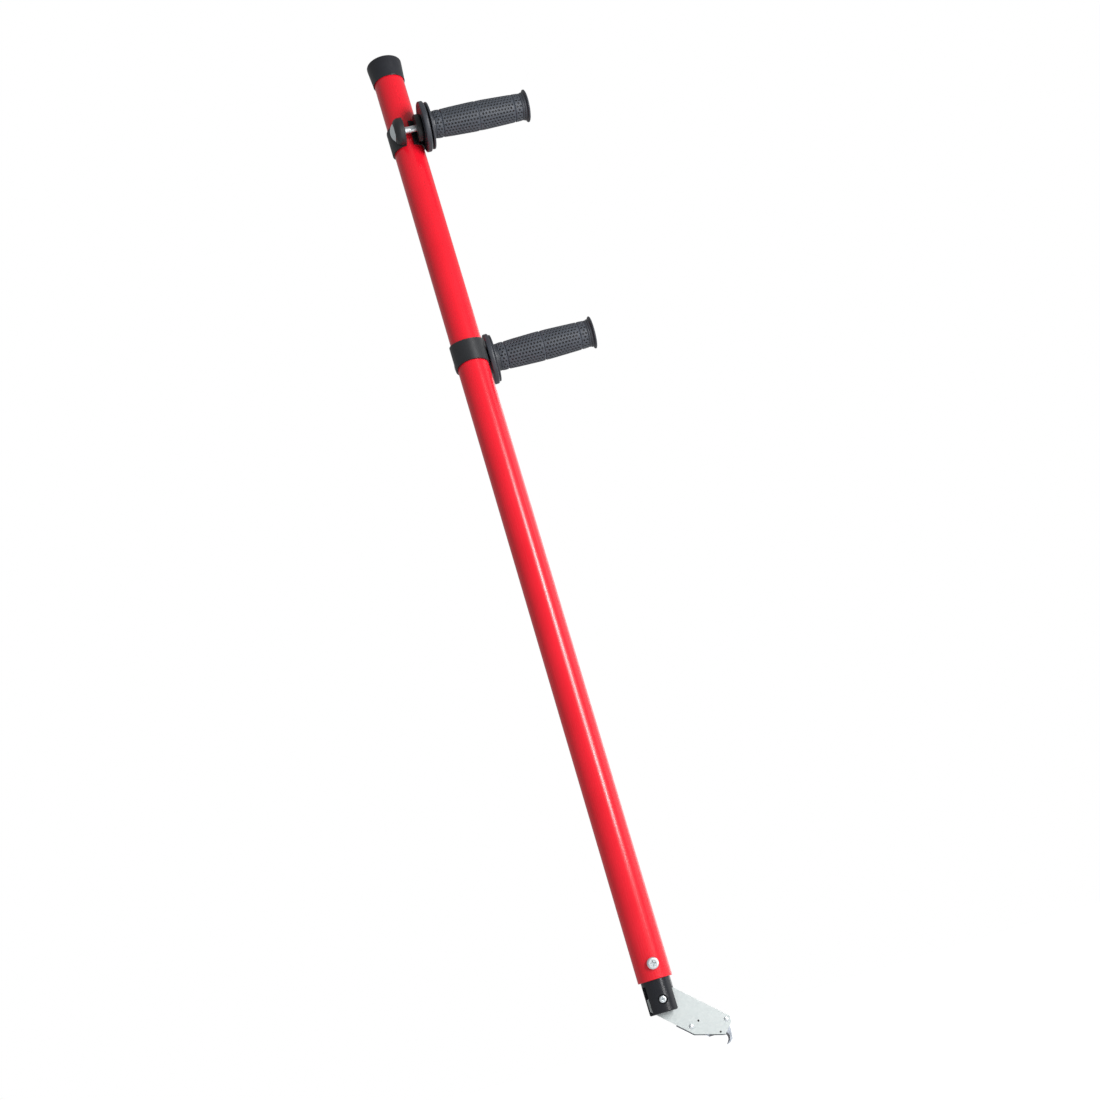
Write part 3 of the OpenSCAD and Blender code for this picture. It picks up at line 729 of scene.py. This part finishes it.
def blade_outline():
    """Right half from the top middle round the hook and the notch to the lower middle, then its mirror."""
    back = np.concatenate([
        line((0, TOP), (HALF - 8, TOP), 12), line((HALF - 8, TOP), (HALF - 4.4, TOP - 4), 6),
        line((HALF - 4.4, TOP - 4), (HALF - 0.1, -2.05), 8), arc((HALF - 9.9, -3.3), 9.9, 7.2, -42.4, 30),
    ])
    notch = np.concatenate([
        line((HALF - 2.66, -9.2), (HALF - 3.0, -6.2), 8), arc((HALF - 7.8, -6.4), 4.8, 4, 84, 26),
        line((HALF - 8.6, -1.42), (HALF - 10.3, -1.3), 3), line((HALF - 10.3, -1.3), (4.3, -DROP), 24),
        np.array([[4.3, -DROP]]),
    ])
    low = line((3.6, -DROP), (0, -DROP), 4)
    half = np.concatenate([back, notch, low])
    ground = np.concatenate([np.zeros(len(back)), np.ones(len(notch)), np.zeros(len(low))])
    mirror = half[::-1] * [-1, 1]
    outline = np.concatenate([half, [[0, -DROP]], mirror[:-1]])
    mark = np.concatenate([ground, [0], ground[::-1][:-1]])
    hook = np.concatenate([back[-30:], back[-30:] * [-1, 1]])
    return outline, mark, hook


def inward(loop, width):
    """Each point moves by width along the line that halves its corner, towards the material."""
    before, after = np.roll(loop, 1, 0), np.roll(loop, -1, 0)
    along = (loop - before) / np.linalg.norm(loop - before, axis=1)[:, None]
    on = (after - loop) / np.linalg.norm(after - loop, axis=1)[:, None]
    tangent = along + on
    tangent /= np.linalg.norm(tangent, axis=1)[:, None] + 1e-9
    normal = np.stack([tangent[:, 1], -tangent[:, 0]], -1)
    return loop + normal * np.asarray(width)[:, None]


outline, ground_mark, hook_back = blade_outline()
room_to_back = np.linalg.norm(outline[:, None] - hook_back[None], axis=2).min(1)
bevel_width = np.where(ground_mark > 0, np.minimum(2.2, 0.45 * room_to_back), 0.05)
print("blade outline:", len(outline), "points; widest bevel", round(float(bevel_width.max()), 2), "mm")


# %% Blade body
def sheet_rings(loop, widths, edge_half, mark, back, front):
    """Six rings from the front face over the edge to the back face, as points and stored values."""
    middle, half = (front + back) / 2, (back - front) / 2
    inner, core = inward(loop, widths), inward(loop, widths + 0.06)
    rings, values = [], []
    for ring, depth, value in (
        (core, half, 0 * mark), (inner, half, mark), (loop, edge_half, mark),
        (loop, -edge_half, mark), (inner, -half, mark), (core, -half, 0 * mark),
    ):
        y = middle - depth + 0 * mark
        rings.append(np.stack([ring[:, 0], y, ring[:, 1]], -1))
        values.append(value)
    return np.stack(rings), np.stack(values)


def holder_to_frame(points):
    """Length u, depth y and height v of the holder to the frame: the holder is tilted about its pivot."""
    u, y, v = points[..., 0], points[..., 1], points[..., 2]
    c, s = math.cos(HOLDER_TILT), math.sin(HOLDER_TILT)
    return np.stack([u * c + v * s, y, PIVOT_Z - u * s + v * c], -1)


half_thick = (BLADE_BACK - BLADE_FRONT) / 2
edge_half = np.where(ground_mark > 0, 0.05, half_thick - 0.04)
loops = [(outline, bevel_width, edge_half, ground_mark)]
for side in (-1, 1):
    hole = arc((side * 12, -1.85), 1.05, 0, -360, 25)[:-1]
    loops.append((hole, np.full(24, 0.04), np.full(24, half_thick - 0.04), np.zeros(24)))
all_points, all_faces, all_values, first = [], [], [], 0
face_edges = []
for loop, widths, edges, mark in loops:
    rings, values = sheet_rings(loop, widths, edges, mark, BLADE_BACK, BLADE_FRONT)
    rings[..., 0] += BLADE_MIDDLE
    count = len(loop)
    all_points.append(holder_to_frame(rings).reshape(-1, 3))
    all_values.append(values.ravel())
    all_faces.append(grid_faces(6, count, False, first))
    face_edges.append((first, first + 5 * count, count))
    first += 6 * count
blade_mesh = bpy.data.meshes.new("hook_blade_ground")
blade_mesh.from_pydata((np.concatenate(all_points) * MM).tolist(), [], np.concatenate(all_faces).tolist())
layer = blade_mesh.attributes.new("ground", "FLOAT", "POINT")
layer.data.foreach_set("value", np.concatenate(all_values).astype(np.float32))
work = bmesh.new()
work.from_mesh(blade_mesh)
work.verts.ensure_lookup_table()
for face in (0, 1):
    rim = []
    for ring in face_edges:
        ids = ring[face] + np.arange(ring[2])
        rim += [work.edges.get((work.verts[int(p)], work.verts[int(q)])) for p, q in zip(ids, np.roll(ids, -1))]
    bmesh.ops.triangle_fill(work, use_beauty=True, use_dissolve=False, edges=[e for e in rim if e])
bmesh.ops.recalc_face_normals(work, faces=work.faces)
work.to_mesh(blade_mesh)
work.free()
finished("hook_blade_ground", blade_mesh, "blade", BLADE_STEEL, ["hook_blade"], sharp=8)
